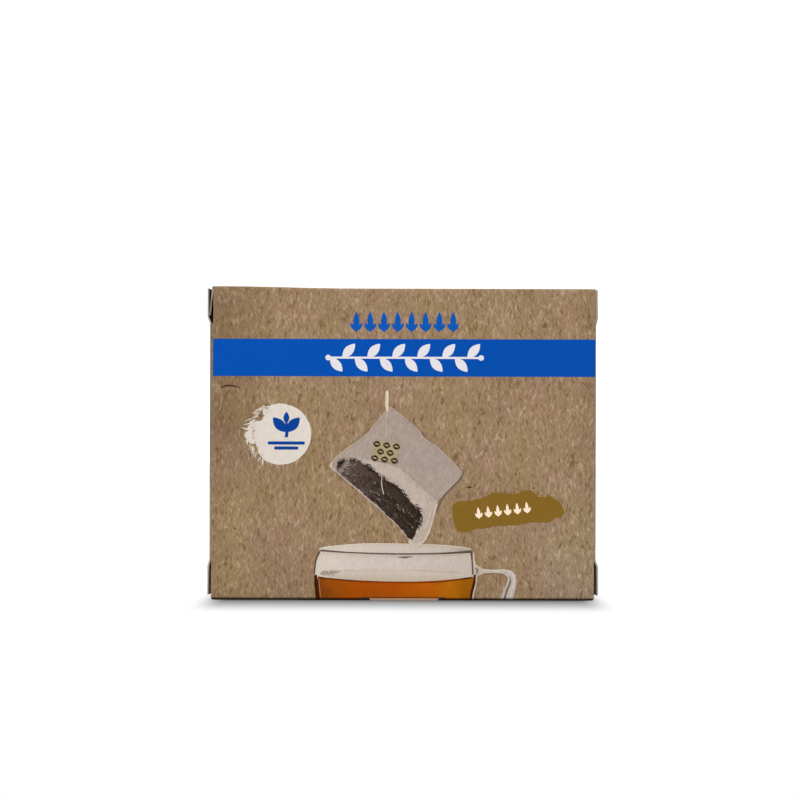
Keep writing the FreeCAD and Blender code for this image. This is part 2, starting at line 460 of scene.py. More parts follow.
def plain_ink(name, tone, cover=0.94, mottle=0.03):
    """Ink of one tone."""
    return ink_material(name, [(0, tuple(tone))], cover, mottle)


# ---------------------------------------------------------------- boards


def merged_carton():
    """The carton's solid as one closed bmesh of flat faces."""
    bm = bmesh.new()
    bm.from_mesh(NODE.data)
    bmesh.ops.remove_doubles(bm, verts=bm.verts, dist=MERGE_DISTANCE)
    join_flat_faces(bm)
    return bm


def join_flat_faces(bm):
    bmesh.ops.dissolve_limit(bm, angle_limit=FLAT_ANGLE, verts=bm.verts, edges=bm.edges)


def front_cut_edges():
    """The front board's left and right cut edges, each as its foot and its top."""
    bm = merged_carton()
    facing = [face for face in bm.faces if face.normal.y < -SQUARE_ON]
    front = max(facing, key=lambda face: face.calc_area())
    longest = sorted(front.edges, key=lambda edge: abs(edge.verts[0].co.z - edge.verts[1].co.z))
    edges = []
    for edge in longest[-2:]:
        edges.append(sorted((vert.co.copy() for vert in edge.verts), key=lambda point: point.z))
    bm.free()
    return sorted(edges, key=lambda edge: edge[0].x)


def slit_over_tab():
    """Left end, right end and level of the open slit over the thumb tab."""
    bm = merged_carton()
    roofs = []
    for face in bm.faces:
        middle = face.calc_center_median()
        behind = FRONT_Y < middle.y < FRONT_Y + TAB_SEARCH
        above = CAD_LOW[2] + MERGE_DISTANCE < middle.z < CAD_LOW[2] + TAB_SEARCH
        if face.normal.z < -SQUARE_ON and behind and above:
            roofs.append(face)
    roof = max(roofs, key=lambda face: face.calc_area())
    points = [vert.co.copy() for vert in roof.verts]
    bm.free()
    return min(point.x for point in points), max(point.x for point in points), points[0].z


LEFT_EDGE, RIGHT_EDGE = front_cut_edges()
FRONT_Y = LEFT_EDGE[0].y
MIDDLE = Vector(((LEFT_EDGE[1].x + RIGHT_EDGE[1].x) / 2, FRONT_Y, CAD_HIGH[2] / 2))
SLIT_LEFT, SLIT_RIGHT, SLIT_LEVEL = slit_over_tab()


def score(bm, point, way, dist=MERGE_DISTANCE, clear_outer=False):
    """Cuts everything along a plane, and gives what lies on the cut."""
    cut = bmesh.ops.bisect_plane(
        bm,
        geom=bm.verts[:] + bm.edges[:] + bm.faces[:],
        dist=dist,
        plane_co=point,
        plane_no=way,
        clear_outer=clear_outer,
    )
    return cut["geom_cut"]


def slice_off(bm, point, outward):
    """Keeps what lies behind a plane and closes the cut."""
    cut = score(bm, point, outward, clear_outer=True)
    rim = [item for item in cut if isinstance(item, bmesh.types.BMEdge) and item.is_boundary]
    bmesh.ops.holes_fill(bm, edges=rim, sides=0)


def level_cut(axis, level, side):
    """A plane square to an axis that keeps the part above it for 1, or below it for -1."""
    outward = Vector((0, 0, 0))
    outward["XYZ".index(axis)] = -side
    return outward * -side * level, outward


def edge_cut(edge, side):
    """The upright plane through a cut edge that keeps what lies right of it for 1."""
    foot, top = edge
    along = (top - foot).normalized()
    return foot, Vector((along.z, 0, -along.x)) * -side


def board_piece(planes):
    """A closed block cut out of the carton by planes."""
    bm = merged_carton()
    for point, outward in planes:
        slice_off(bm, point, outward)
    join_flat_faces(bm)
    return bm


# The top starts to bow this far left of its middle, and goes on over the run, in strips.
BOW_START = 18 * MM
BOW_RUN = 42 * MM
BOW_STRIPS = 7


def smooth_step(share):
    """From 0 to 1 with a soft start and a soft end, and level beyond."""
    share = min(max(share, 0), 1)
    return share * share * (3 - 2 * share)


def bow(bm, rise):
    """Bows the top of a board up towards the left end, in one smooth sweep."""
    start = MIDDLE.x - BOW_START
    for strip in range(BOW_STRIPS + 1):
        score(bm, (start - BOW_RUN * strip / BOW_STRIPS, 0, 0), (1, 0, 0))
    for vert in bm.verts:
        left = smooth_step((start - vert.co.x) / BOW_RUN)
        high = smooth_step(vert.co.z / CAD_HIGH[2] * 2 - 1)
        vert.co.z += rise * left * high


# A cut face is at most this many boards wide, and a side of it this share of its length.
CUT_WIDTH = 1.4
CUT_SIDE = 0.35


def is_cut_edge(face, thickness):
    """A cut through the board is a narrow flat face between two sharp edges."""
    longest = max(edge.calc_length() for edge in face.edges)
    if face.calc_area() > CUT_WIDTH * thickness * longest:
        return False
    sides = [edge for edge in face.edges if edge.calc_length() > CUT_SIDE * longest]
    return len(sides) > 1 and all(edge.calc_face_angle(0) > SHARP for edge in sides)


def finish_object(name, bm, materials, rounded=False):
    """Makes the mesh an object that rides on the carton."""
    bmesh.ops.triangulate(bm, faces=[face for face in bm.faces if len(face.verts) > 4])
    mesh = bpy.data.meshes.new(name)
    bm.to_mesh(mesh)
    bm.free()
    for material in materials:
        mesh.materials.append(material)
    piece = bpy.data.objects.new(name, mesh)
    bpy.context.scene.collection.objects.link(piece)
    if rounded:
        mesh.shade_smooth()
        mesh.set_sharp_from_angle(angle=SMOOTH_BELOW)
        # A flat panel stays flat right up to the creases round it.
        level = piece.modifiers.new("level_panels", "WEIGHTED_NORMAL")
        level.keep_sharp = True
    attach(piece, "root")
    return piece


def board_materials(board):
    """The finishes of the board, made once."""
    made = bpy.data.materials
    if "kraft_upright" not in made:
        kraft_material("kraft_upright", board, "Z")
        kraft_material("kraft_across", board, "Y")
        cut_edge_material("cut_edge", board.cut_edge)
        inside_and_shade_material("board_inside_and_shade", board.inside)
        cut_edge_material("tab_lip", board.tab_lip)
    names = ("kraft_upright", "kraft_across", "cut_edge", "board_inside_and_shade", "tab_lip")
    return [made[name] for name in names]


KRAFT_UPRIGHT, KRAFT_ACROSS, CUT_EDGE, INSIDE_AND_SHADE, TAB_LIP = range(5)


def tab_finish(face):
    """The finish of a face of the thumb tab or of its slit, or None for any other face."""
    middle = face.calc_center_median()
    within = SLIT_LEFT - MERGE_DISTANCE < middle.x < SLIT_RIGHT + MERGE_DISTANCE
    if not within or middle.z > SLIT_LEVEL + MERGE_DISTANCE:
        return None
    if middle.y < FRONT_Y - MERGE_DISTANCE:
        return TAB_LIP
    # Faces in the slit take the inside finish, painted dark as shade.
    return None if face.normal.z < -0.9 and middle.z < SLIT_LEVEL / 2 else INSIDE_AND_SHADE


def board_finish(face, board, grain):
    """The finish of a flat board's face: the thumb tab's, the cut edge's or the kraft's."""
    tab = tab_finish(face)
    if tab is not None:
        return tab
    return CUT_EDGE if is_cut_edge(face, board.thickness) else grain


def end_finish(face, board, side):
    """The finish of a closed end's face; what lies in its slits gets the inside finish, painted
    dark as shade.
    """
    depth = face.calc_center_median().y - FRONT_Y
    facing_front = face.normal.y < -0.5
    # Inward faces, and faces deeper than the light gets, take the inside finish, painted dark as
    # shade.
    if face.normal.x * side < -0.3 or (facing_front and depth > board.lit_depth):
        return INSIDE_AND_SHADE
    behind_fold = facing_front and depth > 0.8 * board.thickness
    if is_cut_edge(face, board.thickness) and not behind_fold:
        return CUT_EDGE
    return KRAFT_UPRIGHT


def dress(name, planes, board, finish_of, choice):
    """Cuts one piece out of the carton, gives each of its faces its finish and bows its top."""
    bm = board_piece(planes)
    bm.normal_update()
    for face in bm.faces:
        face.material_index = finish_of(face, board, choice)
    bow(bm, board.rise)
    piece = finish_object(name, bm, board_materials(board), True)
    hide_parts("carton")


class CARTON_OT_boards(bpy.types.Operator):
    """Cuts the front, back, top and bottom boards and the two closed ends out of the carton"""

    bl_idname = "carton.boards"
    bl_label = "Boards"

    def execute(self, context):
        board = context.scene.carton_board
        inner_front = FRONT_Y + board.thickness
        inner_back = CAD_HIGH[1] - 2 * board.thickness
        # The top and the bottom take in the board and what is glued under it.
        inner_top = level_cut("Z", CAD_HIGH[2] - 2 * MM, 1)
        inner_low = level_cut("Z", 2 * MM, -1)
        sleeve = [edge_cut(LEFT_EDGE, 1), edge_cut(RIGHT_EDGE, -1)]
        between = sleeve + [level_cut("Y", inner_front, 1), level_cut("Y", inner_back, -1)]
        for name, planes, grain in (
            ("front_board", sleeve + [level_cut("Y", inner_front, -1)], KRAFT_UPRIGHT),
            ("back_board", sleeve + [level_cut("Y", inner_back, 1)], KRAFT_UPRIGHT),
            ("top_board", between + [inner_top], KRAFT_ACROSS),
            ("bottom_board", between + [inner_low], KRAFT_ACROSS),
        ):
            dress(name, planes, board, board_finish, grain)
        dress("left_end", [edge_cut(LEFT_EDGE, -1)], board, end_finish, -1)
        dress("right_end", [edge_cut(RIGHT_EDGE, 1)], board, end_finish, 1)
        return {"FINISHED"}


# ---------------------------------------------------------------- ink


def on_board(x, z):
    """A point on the front board, from millimetres about its middle."""
    return Vector((MIDDLE.x + x * MM, 0, MIDDLE.z + z * MM))


def heading(degrees):
    """One millimetre along the front board, in degrees from straight right."""
    angle = math.radians(degrees)
    return Vector((math.cos(angle), math.sin(angle)))


def patch(bm, points, rounding=0.0, segments=6):
    """One flat shape through a few corners, all rounded if a radius in mm is given."""
    verts = [bm.verts.new(on_board(x, z)) for x, z in points]
    bm.faces.new(verts)
    if rounding:
        bmesh.ops.bevel(
            bm,
            geom=verts,
            offset=rounding * MM,
            offset_type="OFFSET",
            segments=segments,
            profile=0.5,
            affect="VERTICES",
            material=-1,
        )


def smooth_run(points, widths, steps):
    """Points along a smooth line through a few points, each with its width."""
    flat = [Vector(point) for point in points]
    flat = [2 * flat[0] - flat[1]] + flat + [2 * flat[-1] - flat[-2]]
    run = []
    for i in range(1, len(points)):
        before, here, after, beyond = flat[i - 1 : i + 3]
        for step in range(steps + 1 if i == len(points) - 1 else steps):
            t = step / steps
            turn = 2 * here + (after - before) * t
            turn += (2 * before - 5 * here + 4 * after - beyond) * t**2
            turn += (3 * here - before - 3 * after + beyond) * t**3
            run.append((turn / 2, widths[i - 1] * (1 - t) + widths[i] * t))
    return run


def stroke(bm, points, widths, steps=6):
    """A drawn line through a few points, as wide at each as its width in mm: one short edge
    drawn out from point to point."""
    run = smooth_run(points, widths, steps)
    lead = trail = edge = None
    for i, (centre, width) in enumerate(run):
        ahead = run[min(i + 1, len(run) - 1)][0]
        back = run[max(i - 1, 0)][0]
        along = (ahead - back).normalized()
        side = Vector((-along.y, along.x)) * width / 2
        ends = [on_board(*(centre + side)), on_board(*(centre - side))]
        if edge is None:
            lead, trail = (bm.verts.new(end) for end in ends)
        else:
            drawn = bmesh.ops.extrude_edge_only(bm, edges=[edge])["geom"]
            fresh = [item for item in drawn if isinstance(item, bmesh.types.BMVert)]
            lead, trail = sorted(fresh, key=lambda vert: bm.edges.get((vert, lead)) is None)
            lead.co, trail.co = ends
        edge = bm.edges.get((lead, trail)) or bm.edges.new((lead, trail))


def bristle(bm, foot, way, widths):
    """A short mark from its foot, as a single bristle leaves it."""
    stroke(bm, [foot, foot.lerp(foot + way, 0.5), foot + way], widths, 2)


def upright(squash=1.0):
    """Turns a shape that was made lying flat up onto the front board."""
    return Matrix(((1, 0, 0, 0), (0, 0, 1, 0), (0, squash, 0, 0), (0, 0, 0, 1)))


# How much narrower than an oval a blade is at its two points.
BLADE_POINT = 0.55


def blade(bm, x, z, run, width, degrees):
    """A pointed leaf with its stalk end at (x, z)."""
    made = bmesh.ops.create_circle(bm, cap_ends=True, segments=20, radius=1)
    for vert in made["verts"]:
        vert.co.y *= 1 - BLADE_POINT * vert.co.x * vert.co.x
    turn = Matrix.Rotation(-math.radians(degrees), 4, "Y")
    size = Matrix.Diagonal((run / 2 * MM, width / 2 * MM, 1, 1))
    shift = Matrix.Translation((run / 2 * MM, 0, 0))
    place = Matrix.Translation(on_board(x, z))
    bmesh.ops.transform(bm, matrix=place @ turn @ upright() @ shift @ size, verts=made["verts"])


def disc(bm, x, z, radius, segments=32, squash=1.0):
    """A round or oval spot."""
    made = bmesh.ops.create_circle(bm, cap_ends=True, segments=segments, radius=radius * MM)
    place = Matrix.Translation(on_board(x, z)) @ upright(squash)
    bmesh.ops.transform(bm, matrix=place, verts=made["verts"])


# A frayed outline is the sum of broad and fine marks: how close they lie, and their share.
BROAD_MARKS = (0.35, 0.9)
FINE_MARKS = (1.9, 0.7)
MOST_CUTS = 400


def fray(bm, reach, grain, seed, allowance=None):
    """Roughens the outline of every shape: bristle marks up to a reach in mm."""
    rim = [edge for edge in bm.edges if edge.is_boundary]
    for edge in rim:
        cuts = int(edge.calc_length() / (grain * MM))
        if cuts > 0 and edge.is_valid:
            bmesh.ops.subdivide_edges(bm, edges=[edge], cuts=min(cuts, MOST_CUTS))
    bm.normal_update()
    moves = []
    for vert in bm.verts:
        border = [edge for edge in vert.link_edges if edge.is_boundary]
        if len(border) != 2:
            continue
        ends = [edge.other_vert(vert).co for edge in border]
        along = (ends[1] - ends[0]).normalized()
        outward = Vector((along.z, 0, -along.x))
        inside = vert.link_faces[0].calc_center_median() - vert.co
        if outward.dot(inside) > 0:
            outward.negate()
        place = (vert.co - MIDDLE) / MM
        share = 1.0 if allowance is None else allowance(place)
        broad = noise.noise(place * BROAD_MARKS[0] + Vector((seed, seed, 0))) * BROAD_MARKS[1]
        fine = noise.noise(place * FINE_MARKS[0] + Vector((0, seed, seed))) * FINE_MARKS[1]
        moves.append((vert, outward * (broad + fine) * reach * share * MM))
    for vert, move in moves:
        vert.co += move


def islands(bm):
    """The sheet's separate shapes, each as a list of its vertices."""
    left = set(bm.verts)
    found = []
    for start in bm.verts:
        if start not in left:
            continue
        left.discard(start)
        shape = [start]
        for vert in shape:
            for edge in vert.link_edges:
                other = edge.other_vert(vert)
                if other in left:
                    left.discard(other)
                    shape.append(other)
        found.append(shape)
    return found


# The ink is cut at these shares of the crease's height, so that it can follow the crease.
CREASE_STEPS = (0.15, 0.35, 0.6, 1.0)
# It follows the crease down to this share of its height, short of where it turns level.
CREASE_REACH = 0.98


def lay_ink(name, bm, layer, material, ink, crease):
    """Gives the flat shapes their thickness, presses them on the board and follows its crease."""
    for share in CREASE_STEPS:
        level = CAD_LOW[2] + crease * share
        if any(vert.co.z < level for vert in bm.verts):
            score(bm, (0, 0, level), (0, 0, 1), SCORE_DISTANCE)
    faces = bm.faces[:]
    bm.normal_update()
    bmesh.ops.recalc_face_normals(bm, faces=faces)
    for face in faces:
        if face.normal.y > 0:
            face.normal_flip()
    for count, island in enumerate(islands(bm)):
        for vert in island:
            vert.co.y = FRONT_Y - ink * (layer + 1) - count % STEPS_BEFORE_REPEAT * SHAPE_STEP
    raised = bmesh.ops.extrude_face_region(bm, geom=bm.faces[:], use_keep_orig=True)
    back = [item for item in raised["geom"] if isinstance(item, bmesh.types.BMVert)]
    for vert in back:
        vert.co.y = FRONT_Y + ink
    for vert in bm.verts:
        below = crease - (vert.co.z - CAD_LOW[2])
        if below > 0:
            depth = min(below, crease * CREASE_REACH)
            vert.co.y += crease - math.sqrt(crease * crease - depth * depth)
    bmesh.ops.recalc_face_normals(bm, faces=bm.faces[:])
    finish_object(name, bm, [material])


def keep_off_slit(bm):
    """Cuts away the ink that would span the open slit and the thumb tab."""
    level = SLIT_LEVEL + FOOT_MARGIN
    left = SLIT_LEFT - FOOT_MARGIN
    right = SLIT_RIGHT + FOOT_MARGIN
    if all(vert.co.z > level for vert in bm.verts):
        return
    score(bm, (0, 0, level), (0, 0, 1), SCORE_DISTANCE)
    score(bm, (left, 0, 0), (1, 0, 0), SCORE_DISTANCE)
    score(bm, (right, 0, 0), (1, 0, 0), SCORE_DISTANCE)
    over = []
    for face in bm.faces:
        middle = face.calc_center_bounds()
        if left < middle.x < right and middle.z < level:
            over.append(face)
    bmesh.ops.delete(bm, geom=over, context="FACES")


def print_ink(context, name, bm, layer, material):
    """Lays one piece of print on the front board, no lower than the board reaches."""
    look = context.scene.carton_print
    lowest = CAD_LOW[2] + FOOT_MARGIN
    for vert in bm.verts:
        vert.co.z = max(vert.co.z + look.lift, lowest)
    keep_off_slit(bm)
    lay_ink(name, bm, layer, material, look.ink, context.scene.carton_board.crease)


def print_patch(context, name, layer, material, points, *rounding, frays=()):
    """Prints one flat shape.

    Rounding is the corners' radius and segments, and frays is the reach, grain and seed of a
    frayed outline.
    """
    sheet = bmesh.new()
    patch(sheet, points, *rounding)
    if frays:
        fray(sheet, *frays)
    print_ink(context, name, sheet, layer, material)


def print_lines(context, name, layer, material, *lines):
    """Prints drawn lines, each given as its points and its widths."""
    sheet = bmesh.new()
    for points, widths in lines:
        stroke(sheet, points, widths)
    print_ink(context, name, sheet, layer, material)


class CARTON_OT_band(bpy.types.Operator):
    """Prints the band across the front board, from cut edge to cut edge"""

    bl_idname = "carton.band"
    bl_label = "Band"

    def execute(self, context):
        look = context.scene.carton_print
        corners = []
        # The band stops this many millimetres short of the cut edges.
        inset = 0.03
        for (foot, top), level, way in (
            (LEFT_EDGE, look.band_low, 1),
            (RIGHT_EDGE, look.band_low, -1),
            (RIGHT_EDGE, look.band_high, -1),
            (LEFT_EDGE, look.band_high, 1),
        ):
            share = (MIDDLE.z + level - foot.z) / (top.z - foot.z)
            x = (foot.lerp(top, share).x - MIDDLE.x) / MM
            corners.append((x + way * inset, level / MM))
        blue = tuple(look.band_blue)
        ink = ink_material("band_ink", [(-60, blue), (60, tinted(blue, 0.92))], 0.92, 0.03, 0.5)
        print_patch(context, "blue_band", 0, ink, corners)
        return {"FINISHED"}


class CARTON_OT_ornaments(bpy.types.Operator):
    """Prints the leaf border in the band and the row of buds above it"""

    bl_idname = "carton.ornaments"
    bl_label = "Ornaments"

    def execute(self, context):
        look = context.scene.carton_print
        middle = (look.band_low + look.band_high) / 2 / MM
        border = bmesh.new()
        stems = 12
        step = 4.25
        for i in range(stems):
            x = (i - (stems - 1) / 2) * step
            blade(border, x - 2.0, middle, 6.3, 3.1, 48 if i % 2 else -48)
        reach = stems * step / 2
        stroke(border, [(-reach, middle), (0, middle), (reach, middle)], [0.7] * 3, 1)
        for side in (-1, 1):
            disc(border, side * (reach + 0.5), middle, 0.95)
        print_ink(context, "band_leaves", border, 1, plain_ink("white_ink", look.white, 0.96, 0.01))
        buds = bmesh.new()
        count = 8
        for i in range(count):
            x = (i - (count - 1) / 2) * 4.7
            blade(buds, x, 38.0, 6.6, 2.1, 90)
            blade(buds, x, 38.2, 3.2, 1.4, 128)
            blade(buds, x, 38.2, 3.2, 1.4, 52)
            disc(buds, x, 38.35, 0.5)
        print_ink(context, "heading_buds", buds, 0, plain_ink("heading_ink", look.heading_blue))
        return {"FINISHED"}


BADGE_MIDDLE = Vector((-42.05, 2.95))
BADGE_RADIUS = 10.35
# The roundel's frayed side, from below round to the top.
BRUSHED_SIDE = [
    (-49.5, -2.7), (-50.2, -1.6), (-50.5, -0.5), (-52.9, 0.3), (-53.6, -0.9), (-53.5, 1.2),
    (-54.3, 2.4), (-53.2, 4.1), (-53.3, 6.0), (-52.3, 7.2), (-50.9, 7.6), (-49.5, 7.3),
    (-47.4, 9.2), (-48.0, 10.9),
]


class CARTON_OT_badge(bpy.types.Operator):
    """Prints the brushed off-white roundel with a sprout on it"""

    bl_idname = "carton.badge"
    bl_label = "Badge"

    def execute(self, context):
        look = context.scene.carton_print
        sheet = bmesh.new()
        # Clean from its upper left round by the right to its lower left.
        outline = [BADGE_MIDDLE + heading(turn) * BADGE_RADIUS for turn in range(124, -136, -5)]
        patch(sheet, outline + [Vector(point) for point in BRUSHED_SIDE])

        def brushed(place):
            left = place.x < BADGE_MIDDLE.x - 4.2
            upper = place.z > BADGE_MIDDLE.y + 5
            return 1.0 if left else (0.45 if upper else 0.16)

        fray(sheet, 0.55, 0.22, 5, brushed)
        # Ink that single bristles left outside the roundel, on its brushed side.
        arcs = ((118, 165, 212, 26), (160, 188, 180, 12), (196, 238, 262, 20))
        for foot, way, thick in self.marks(12, arcs, (0.96, 1.1), 14, (0.6, 2.6), (0.16, 0.42)):
            bristle(sheet, foot, way, [thick, thick * 0.8, 0.06])
        pale = tuple(look.badge)
        stops = [(-52, tinted(pale, 0.97, 0.95, 0.94)), (-40, pale)]
        print_ink(context, "badge_roundel", sheet, 0, ink_material("badge_ink", stops, 0.93, 0.05))
        # Bare board between the bristle marks.
        streaks = bmesh.new()
        arcs = ((112, 172, 208, 20), (172, 236, 250, 12))
        for foot, way, thick in self.marks(7, arcs, (0.84, 1.05), 12, (0.5, 1.9), (0.12, 0.34)):
            bristle(streaks, foot, way, [0.05, thick, 0.05])
        kraft = board_materials(context.scene.carton_board)[KRAFT_UPRIGHT]
        print_ink(context, "badge_bare_streaks", streaks, 1, kraft)
        self.sprout(context, look)
        return {"FINISHED"}

    def marks(self, seed, arcs, starts, wander, runs, thicks):
        """Foot, way and thickness of marks strewn round the roundel by a seeded draw.

        Each arc is (from degrees, to degrees, heading, count). Starts are shares of the radius,
        wander is in degrees, and runs and thicknesses are in millimetres.
        """
        chance = random.Random(seed)
        for low, high, degrees, count in arcs:
            for _ in range(count):
                out = heading(chance.uniform(low, high))
                foot = BADGE_MIDDLE + out * (BADGE_RADIUS * chance.uniform(*starts))
                way = heading(degrees + chance.gauss(0, wander)) * chance.uniform(*runs)
                yield foot, way, chance.uniform(*thicks)

    def sprout(self, context, look):
        """A sprout over two lines of soil."""
        sprout = bmesh.new()
        x = BADGE_MIDDLE.x + 1.9
        z = BADGE_MIDDLE.y + 1.2
        stroke(sprout, [(x, z - 2.2), (x + 0.25, z), (x, z + 2.6)], [1.1, 1.0, 0.8])
        blade(sprout, x, z - 0.4, 6.6, 3.4, 47)
        blade(sprout, x, z - 0.4, 6.6, 3.4, 133)
        blade(sprout, x, z + 2.4, 4.0, 2.0, 90)
        for half, low in ((6.3, z - 4.7), (4.1, z - 6.4)):
            high = low + 1.05
            corners = [(x - half, low), (x + half, low), (x + half, high), (x - half, high)]
            patch(sprout, corners, 0.4)
        print_ink(context, "badge_sprout", sprout, 2, plain_ink("sprout_ink", look.badge_blue))


# The brush stroke, from its left end along its upper side and back.
GOLD_OUTLINE = [
    (16.4, -20.8), (19.5, -19.6), (22.9, -19.4), (26.3, -18.2), (28.9, -17.3), (30.8, -16.6),
    (32.7, -16.9), (35.0, -17.0), (37.2, -17.3), (39.5, -16.6), (41.8, -16.0), (44.0, -16.6),
    (45.9, -17.8), (47.8, -18.3), (48.9, -17.2), (50.8, -18.2), (52.7, -20.0), (53.9, -21.6),
    (54.6, -23.4), (53.5, -24.9), (51.2, -25.4), (48.9, -26.8), (46.3, -26.8), (43.3, -26.7),
    (40.3, -27.3), (36.5, -27.9), (32.7, -27.9), (28.9, -28.6), (25.1, -28.9), (21.7, -30.3),
    (18.0, -30.0), (16.8, -27.2), (16.3, -23.8),
]


class CARTON_OT_brush_stroke(bpy.types.Operator):
    """Prints the tilted gold brush stroke with a row of cream sprouts"""

    bl_idname = "carton.brush_stroke"
    bl_label = "Brush stroke"

    def execute(self, context):
        look = context.scene.carton_print
        sheet = bmesh.new()
        patch(sheet, GOLD_OUTLINE)

        def ragged(place):
            upper = place.z > -22.5 + (place.x - 16) * 0.1
            return 1.0 if upper and place.x > 24 else 0.55

        fray(sheet, 0.6, 0.22, 3, ragged)
        chance = random.Random(31)
        # Ink that single bristles left above the stroke, which falls off at its right end.
        for _ in range(30):
            x = chance.uniform(30, 52)
            top = -16.6 if x < 46 else -16.6 - (x - 46) * 0.55
            foot = Vector((x, top + chance.uniform(-1.4, -0.2)))
            way = Vector((chance.gauss(-0.15, 0.25), chance.uniform(0.8, 1.9)))
            thick = chance.uniform(0.14, 0.34)
            bristle(sheet, foot, way, [thick, thick * 0.8, 0.06])
        gold = tuple(look.gold)
        stops = [(16, gold), (30, tinted(gold, 1.02, 0.98, 1.05)), (52, gold)]
        print_ink(context, "gold_stroke", sheet, 0, ink_material("gold_ink", stops, 0.93, 0.07))
        sprouts = bmesh.new()
        tilt = math.radians(6.5)
        count = 6
        for i in range(count):
            run = (i - (count - 1) / 2) * 3.3
            x = 33.7 + run * math.cos(tilt)
            z = -24.4 + run * math.sin(tilt)
            straight = 90 + math.degrees(tilt)
            blade(sprouts, x, z, 2.1, 0.95, straight - 36)
            blade(sprouts, x, z, 2.1, 0.95, straight + 36)
            blade(sprouts, x, z - 0.2, 3.9, 1.1, straight)
            disc(sprouts, x, z + 0.1, 0.3, 16)
        cream = plain_ink("cream_ink", look.cream, 0.96, 0.01)
        print_ink(context, "stroke_sprouts", sprouts, 1, cream)
        return {"FINISHED"}


# ---------------------------------------------------------------- the printed sachet


# The sachet's outline, clockwise from the string.
BAG = [
    (-5.2, 12.7), (-1.5, 10.0), (5.3, 4.2), (6.7, 1.9), (12.1, -1.9), (18.2, -7.7),
    (19.9, -10.1), (18.2, -12.5), (14.8, -15.9), (11.8, -19.3), (10.7, -23.4), (8.7, -30.2),
    (6.7, -33.6), (3.9, -35.2), (2.2, -33.9), (-1.5, -29.1), (-6.9, -24.0), (-12.4, -19.3),
    (-17.8, -14.5), (-22.6, -10.4), (-25.2, -7.9), (-24.6, -5.9), (-19.9, -1.9), (-13.1, 2.8),
    (-9.0, 7.6), (-6.6, 10.6),
]
# The printed shade that shows past its right side.
BAG_SHADE = [
    (12.6, -2.6), (18.6, -7.9), (20.5, -10.2), (18.8, -13.0), (15.3, -16.5), (12.3, -20.0),
    (11.4, -23.6), (10.0, -22.0),
]
# The part of it nearest the eye, from its left corner.
NEAR_FACE = [
    (-25.0, -7.8), (-21.5, -5.9), (-17.0, -4.9), (-11.0, -5.8), (-6.5, -6.9), (-1.8, -8.4),
    (5.0, -14.3), (11.4, -19.9), (10.5, -23.4), (8.5, -30.2), (6.6, -33.4), (3.9, -35.0),
    (2.3, -33.8), (-1.4, -29.0), (-6.8, -23.9), (-12.3, -19.2), (-17.7, -14.4), (-22.5, -10.3),
]
# The heap of leaves: its ragged upper side, then back along the bag's edge.
HEAP = [
    (-22.9, -7.9), (-21.2, -6.2), (-16.5, -5.7), (-12.7, -7.4), (-10.3, -9.9), (-6.3, -12.5),
    (-1.5, -15.5), (1.2, -19.0), (4.9, -22.6), (5.6, -25.4), (4.5, -28.8), (2.9, -33.0),
    (1.2, -31.9), (-2.9, -27.2), (-8.3, -22.0), (-13.7, -17.3), (-19.9, -12.3), (-22.6, -10.0),
]
# Its ragged side is this many of those stretches, less a trace.
RAGGED_STRETCHES = 9.99
# The line along the middle of the heap, and the way across it.
HEAP_START = Vector((-20.5, -8.0))
HEAP_END = Vector((3.6, -27.6))
HEAP_ACROSS = Vector((0.64, 0.77))
# Single leaves: piece, count, layer, tone, share at the ragged side, pull to the heap's left end.
LEAVES = (
    ("leaf_twists_grey", 110, 4, (98, 85, 79), 0.1, 1.8),
    ("leaf_twists_brown", 190, 5, (74, 60, 53), 0.35, 1.0),
    ("leaf_twists_dark", 220, 6, (42, 31, 24), 0.5, 0.62),
    ("leaf_gaps_pale", 64, 7, (140, 127, 121), 0.0, 9.0),
)
# The pale seams, each with its width.
SEAMS = (
    ([(-6.8, 10.4), (-9.2, 7.4), (-13.3, 2.6), (-20.0, -2.2), (-24.6, -6.0)], 0.3),
    ([(-5.0, 12.5), (-1.6, 9.8), (5.1, 4.0), (6.6, 1.6), (12.0, -2.1), (19.6, -10.0)], 0.26),
    ([(19.6, -10.3), (18.0, -12.5), (14.6, -15.9), (11.6, -19.4)], 0.25),
    ([(-24.8, -8.2), (-22.5, -10.2), (-17.7, -14.3), (-12.2, -19.1), (-7.0, -23.6)], 0.34),
    ([(-1.7, -8.5), (5.0, -14.4), (11.3, -20.0)], 0.36),
)
TAG_CORNER = (-10.0, 1.0)


